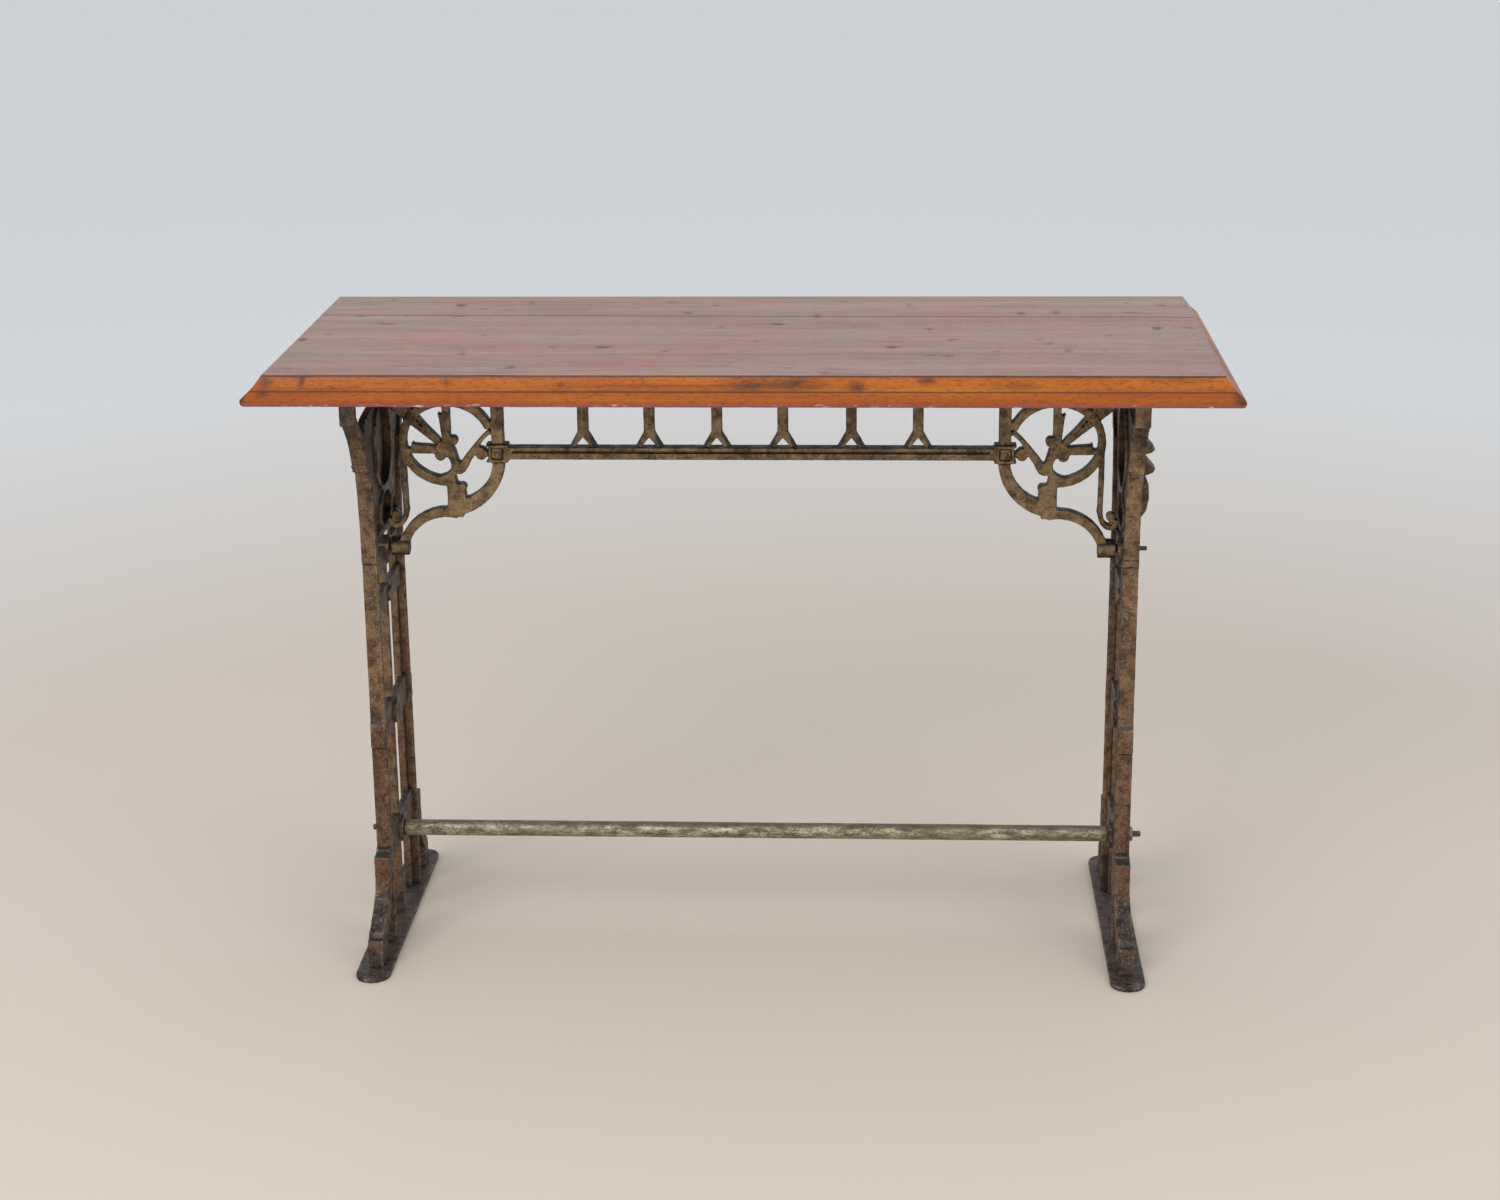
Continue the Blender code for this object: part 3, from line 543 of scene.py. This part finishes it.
def add_piece(name, mesh, material, node):
    """A finished piece that stands in for one CAD node."""
    piece = bpy.data.objects.new(name, mesh)
    bpy.context.scene.collection.objects.link(piece)
    mesh.materials.clear()
    mesh.materials.append(material)
    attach(piece, "root")
    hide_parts(node)


def linked_worker(mesh):
    worker = bpy.data.objects.new("worker", mesh)
    bpy.context.scene.collection.objects.link(worker)
    return worker


def applied(piece):
    """Mesh of a piece with its modifiers applied."""
    bpy.context.view_layer.update()
    evaluated = piece.evaluated_get(bpy.context.evaluated_depsgraph_get())
    mesh = bpy.data.meshes.new_from_object(evaluated)
    piece.modifiers.clear()
    return mesh


def clean_copy(node):
    """The node's solid as a welded mesh without its split normals."""
    bm = bmesh.new()
    bm.from_mesh(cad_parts[node].data)
    bmesh.ops.remove_doubles(bm, verts=bm.verts, dist=0.00002)
    mesh = bpy.data.meshes.new(node + "_work")
    bm.to_mesh(mesh)
    bm.free()
    return mesh


def mesh_from(name, vertices, faces, sharp):
    """Smooth-shaded mesh with edges sharper than an angle in degrees kept sharp."""
    mesh = bpy.data.meshes.new(name)
    mesh.from_pydata(vertices, [], faces)
    bm = bmesh.new()
    bm.from_mesh(mesh)
    bmesh.ops.recalc_face_normals(bm, faces=bm.faces)
    bm.to_mesh(mesh)
    bm.free()
    mesh.shade_smooth()
    mesh.set_sharp_from_angle(angle=math.radians(sharp))
    return mesh


def band_faces(first, second, around):
    """Faces between two closed rings of points, given by their first indices."""
    faces = []
    for step in range(around):
        beside = (step + 1) % around
        faces.append((first + step, first + beside, second + beside, second + step))
    return faces


# ---------------------------------------------------------------- castings and small hardware

def roughen(mesh, height, scale, seed):
    """Push each vertex along its normal by smooth noise."""
    count = len(mesh.vertices)
    spots = np.empty(count * 3, np.float32)
    normals = np.empty(count * 3, np.float32)
    mesh.vertices.foreach_get("co", spots)
    mesh.vertices.foreach_get("normal", normals)
    spots = spots.reshape(-1, 3)
    shift = Vector((seed * 3.7, seed * 1.9, 0.0))
    amount = np.array([noise.noise(Vector(spot) * scale + shift) for spot in spots], np.float32)
    spots += normals.reshape(-1, 3) * (amount * height)[:, None]
    mesh.vertices.foreach_set("co", spots.ravel())
    mesh.update()


def cast_piece(name, node, material, seed, voxel):
    """A casting with rounded arrises, filleted corners and an uneven skin, made from its CAD solid."""
    worker = linked_worker(clean_copy(node))
    skin = worker.modifiers.new("skin", "REMESH")
    skin.mode = "VOXEL"
    skin.voxel_size = voxel
    soften = worker.modifiers.new("soften", "SMOOTH")
    soften.factor = 0.5
    soften.iterations = CAST_SOFTENING
    worker.data = applied(worker)
    roughen(worker.data, CAST_ROUGHNESS, CAST_WAVES, seed)
    thin = worker.modifiers.new("thin", "DECIMATE")
    thin.ratio = KEPT_SHARE
    final = applied(worker)
    bpy.data.objects.remove(worker, do_unlink=True)
    final.shade_smooth()
    add_piece(name, final, material, node)


def cut_piece(name, node, material, width, groove=None):
    """A nut, washer or screw with its edges eased, less a groove where one is given."""
    mesh = clean_copy(node)
    bm = bmesh.new()
    bm.from_mesh(mesh)
    bmesh.ops.dissolve_limit(bm, angle_limit=math.radians(2), verts=bm.verts, edges=bm.edges)
    bm.to_mesh(mesh)
    bm.free()
    worker = linked_worker(mesh)
    if groove is not None:
        cut = worker.modifiers.new("slot", "BOOLEAN")
        cut.solver = "EXACT"
        cut.object = groove
    ease = worker.modifiers.new("ease", "BEVEL")
    ease.width = width
    ease.segments = 2
    ease.limit_method = "ANGLE"
    ease.angle_limit = math.radians(35)
    final = applied(worker)
    bpy.data.objects.remove(worker, do_unlink=True)
    final.shade_smooth()
    final.set_sharp_from_angle(angle=math.radians(40))
    add_piece(name, final, material, node)


def screw_slot(node):
    """A thin block across the underside of a screw head, turned differently for each screw."""
    low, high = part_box(node)
    bpy.ops.mesh.primitive_cube_add(size=1)
    block = bpy.context.object
    block.scale = SCREW_SLOT
    block.rotation_euler = (0.0, 0.0, (low.x * 7 + low.y * 13) % 3.0)
    block.location = ((low.x + high.x) / 2, (low.y + high.y) / 2, low.z)
    bpy.context.view_layer.update()
    return block


def slotted_screw(node, material):
    block = screw_slot(node)
    cut_piece(node + "_slotted", node, material, SCREW_EASE, block)
    bpy.data.objects.remove(block, do_unlink=True)


# ---------------------------------------------------------------- tube, rod and studs

def turned_mesh(name, rings, around, closed, centre):
    """Surface through rings along X, each (x, radius function of angle).

    closed joins the last ring to the first; otherwise the ends are filled.
    """
    vertices = []
    for x, radius in rings:
        for step in range(around):
            angle = 2 * math.pi * step / around
            reach = radius(angle)
            vertices.append((x, centre[0] + reach * math.cos(angle), centre[1] + reach * math.sin(angle)))
    faces = []
    count = len(rings)
    for ring in range(count if closed else count - 1):
        faces += band_faces(ring * around, (ring + 1) % count * around, around)
    if not closed:
        faces.append(tuple(range(around))[::-1])
        faces.append(tuple(range((count - 1) * around, count * around)))
    return mesh_from(name, vertices, faces, 50)


def round_box(node):
    """Ends along X, radius and centre (y, z) of a round bar."""
    low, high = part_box(node)
    centre = ((high.y + low.y) / 2, (high.z + low.z) / 2)
    return low.x, high.x, (high.y - low.y) / 2, centre


def threaded_bar(name, node, material, pitch, left, right):
    """A bar along X with a helical thread over the lengths left and right from its ends."""
    start, end, radius, centre = round_box(node)
    rings = []
    x = start
    while x < end:
        cut = x < start + left or x > end - right
        ease = min(1.0, POINT_SHARE + min(x - start, end - x) / POINT_LENGTH)

        def reach(angle, x=x, cut=cut, ease=ease):
            if not cut:
                return radius * SHANK_SHARE
            turn = (x / pitch - angle / (2 * math.pi)) % 1.0
            return (radius - THREAD_DEPTH * pitch * abs(2 * turn - 1)) * ease

        rings.append((x, reach))
        x += pitch / THREAD_STEPS if cut else SHANK_STEP
    rings.append((end, lambda angle: radius * 0.5))
    mesh = turned_mesh(name, rings, BAR_SIDES, False, centre)
    add_piece(name, mesh, material, node)


def tube_piece(material):
    """The footrest tube: slightly uneven, with rubbed ends and an open bore."""
    start, end, outer, centre = round_box("footrest_tube")

    def bore(angle):
        return TUBE_BORE_SHARE * outer

    def rubbed(angle):
        return outer - TUBE_END_EASE

    rings = [(start, bore), (start, rubbed)]
    for step in range(TUBE_STEPS + 1):
        x = start + TUBE_END_LENGTH + (end - start - 2 * TUBE_END_LENGTH) * step / TUBE_STEPS

        def reach(angle, x=x):
            place = Vector((x * 22, math.cos(angle) * 0.8, math.sin(angle) * 0.8))
            return outer - TUBE_SINK + TUBE_DENT * noise.noise(place)

        rings.append((x, reach))
    rings += [(end, rubbed), (end, bore)]
    mesh = turned_mesh("footrest", rings, TUBE_SIDES, True, centre)
    add_piece("footrest", mesh, material, "footrest_tube")


# ---------------------------------------------------------------- planks

def board_point(edge, inward, inset, z, u, v):
    """Point of a plank; u runs along X from -1 to 1, v from the outer edge (0) to the joint (1)."""
    x = u * (HALF_LENGTH - inset)
    outer = edge + inward * inset
    middle = JOINT_LEFT_Y + (JOINT_RIGHT_Y - JOINT_LEFT_Y) * (x + HALF_LENGTH) / (2 * HALF_LENGTH)
    joint = middle - inward * JOINT_SIDE_GAP
    return Vector((x, outer + (joint - outer) * v, z))


def side_point(edge, inward, inset, z, u, v):
    """Point of a plank's sides, uneven and nicked along the lower rim; the joint's upper edge is eased."""
    point = board_point(edge, inward, inset, z, u, v)
    wave = noise.noise(Vector((point.x * 9, point.y * 9, z * 40)))
    nick = max(0.0, noise.noise(Vector((point.x * 70, point.y * 70, 3.0))) - CHIP_LEVEL) * CHIP_DEPTH
    low_share = min(1.0, max(0.0, (UNDERSIDE_Z + CHIPPED_HEIGHT - z) / CHIPPED_HEIGHT))
    shift = EDGE_WAVE * wave - nick * low_share
    if v < 1.0:
        point.y -= inward * shift * (1.0 - v)
    if abs(u) == 1.0:
        point.x += math.copysign(shift, u)
    if v == 1.0 and z == TOP_Z:
        point.y -= inward * JOINT_EASE
    return point


def face_point(edge, inward, u, v):
    """Point of a plank's face, with slow waves and a few small dents."""
    inset, z = EDGE_PROFILE[-1]
    point = board_point(edge, inward, inset, z, u, v)
    point.z += FACE_WAVE * noise.noise(Vector((point.x * 6, point.y * 14, 0.0))) - FACE_SINK
    dent = noise.noise(Vector((point.x * 45, point.y * 45, 7.0)))
    point.z -= max(0.0, dent - DENT_LEVEL) * DENT_DEPTH
    return point


def board_loop(columns, rows):
    """(u, v) places once round a plank: outer edge, right end, joint, left end."""
    loop = [(2 * i / columns - 1, 0.0) for i in range(columns)]
    loop += [(1.0, j / rows) for j in range(rows)]
    loop += [(1 - 2 * i / columns, 1.0) for i in range(columns)]
    loop += [(-1.0, 1 - j / rows) for j in range(rows)]
    return loop


def loop_place(i, j, columns, rows):
    """Place in the loop of a point on the border of the face's grid, or None inside the grid."""
    if j == 0:
        return i
    if i == columns:
        return columns + j
    if j == rows:
        return 2 * columns + rows - i
    if i == 0:
        return 2 * columns + 2 * rows - j
    return None


def board_piece(name, node, material, edge, inward):
    """A plank with two-step slopes; edge is the Y of its outer edge, inward the way to the joint."""
    columns = round(2 * HALF_LENGTH / BOARD_STEP)
    rows = round(abs(edge - JOINT_LEFT_Y) / BOARD_STEP)
    loop = board_loop(columns, rows)
    vertices = [side_point(edge, inward, inset, z, u, v) for inset, z in EDGE_PROFILE for u, v in loop]
    around = len(loop)
    faces = []
    for level in range(len(EDGE_PROFILE) - 1):
        faces += band_faces(level * around, (level + 1) * around, around)
    faces.append(tuple(range(around))[::-1])
    # The face is a grid whose border is the last ring of the sides
    border = (len(EDGE_PROFILE) - 1) * around
    index_of = {}
    for j in range(rows + 1):
        for i in range(columns + 1):
            place = loop_place(i, j, columns, rows)
            if place is None:
                index_of[i, j] = len(vertices)
                vertices.append(face_point(edge, inward, 2 * i / columns - 1, j / rows))
            else:
                index_of[i, j] = border + place
    for j in range(rows):
        for i in range(columns):
            faces.append((index_of[i, j], index_of[i + 1, j], index_of[i + 1, j + 1], index_of[i, j + 1]))
    mesh = mesh_from(name, [tuple(vertex) for vertex in vertices], faces, 30)
    add_piece(name, mesh, material, node)


# ---------------------------------------------------------------- the table

def main():
    make_camera()
    make_light()
    make_floor()
    iron = frame_material()
    girt_iron = girt_material()
    dark = foot_bar_material()
    wood = wood_material()
    steel = steel_material()
    board_piece("plank_front", "top_board_front", wood, CAD_BOX[0][1], 1.0)
    board_piece("plank_back", "top_board_back", wood, CAD_BOX[1][1], -1.0)
    cast_piece("frame_left", "end_frame_left", iron, 1.0, CAST_VOXEL)
    cast_piece("frame_right", "end_frame_right", iron, 2.0, CAST_VOXEL)
    cast_piece("girt", "back_girt", girt_iron, 3.0, CAST_VOXEL)
    cast_piece("foot_bar_left", "sole_left", dark, 4.0, SOLE_VOXEL)
    cast_piece("foot_bar_right", "sole_right", dark, 5.0, SOLE_VOXEL)
    tube_piece(tube_material())
    threaded_bar("rod", "tie_rod", steel, ROD_PITCH, ROD_THREAD, ROD_THREAD)
    for side, left, right in (("left", STUD_THREAD, 0.0), ("right", 0.0, STUD_THREAD)):
        threaded_bar(f"stud_{side}", f"girt_stud_{side}", steel, STUD_PITCH, left, right)
        for kind in ("tie", "girt"):
            cut_piece(f"{kind}_hexagon_{side}", f"{kind}_nut_{side}", steel, NUT_EASE)
            cut_piece(f"{kind}_disc_{side}", f"{kind}_washer_{side}", steel, WASHER_EASE)
    for node in sorted(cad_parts):
        if "_screw_" in node:
            slotted_screw(node, steel)


main()
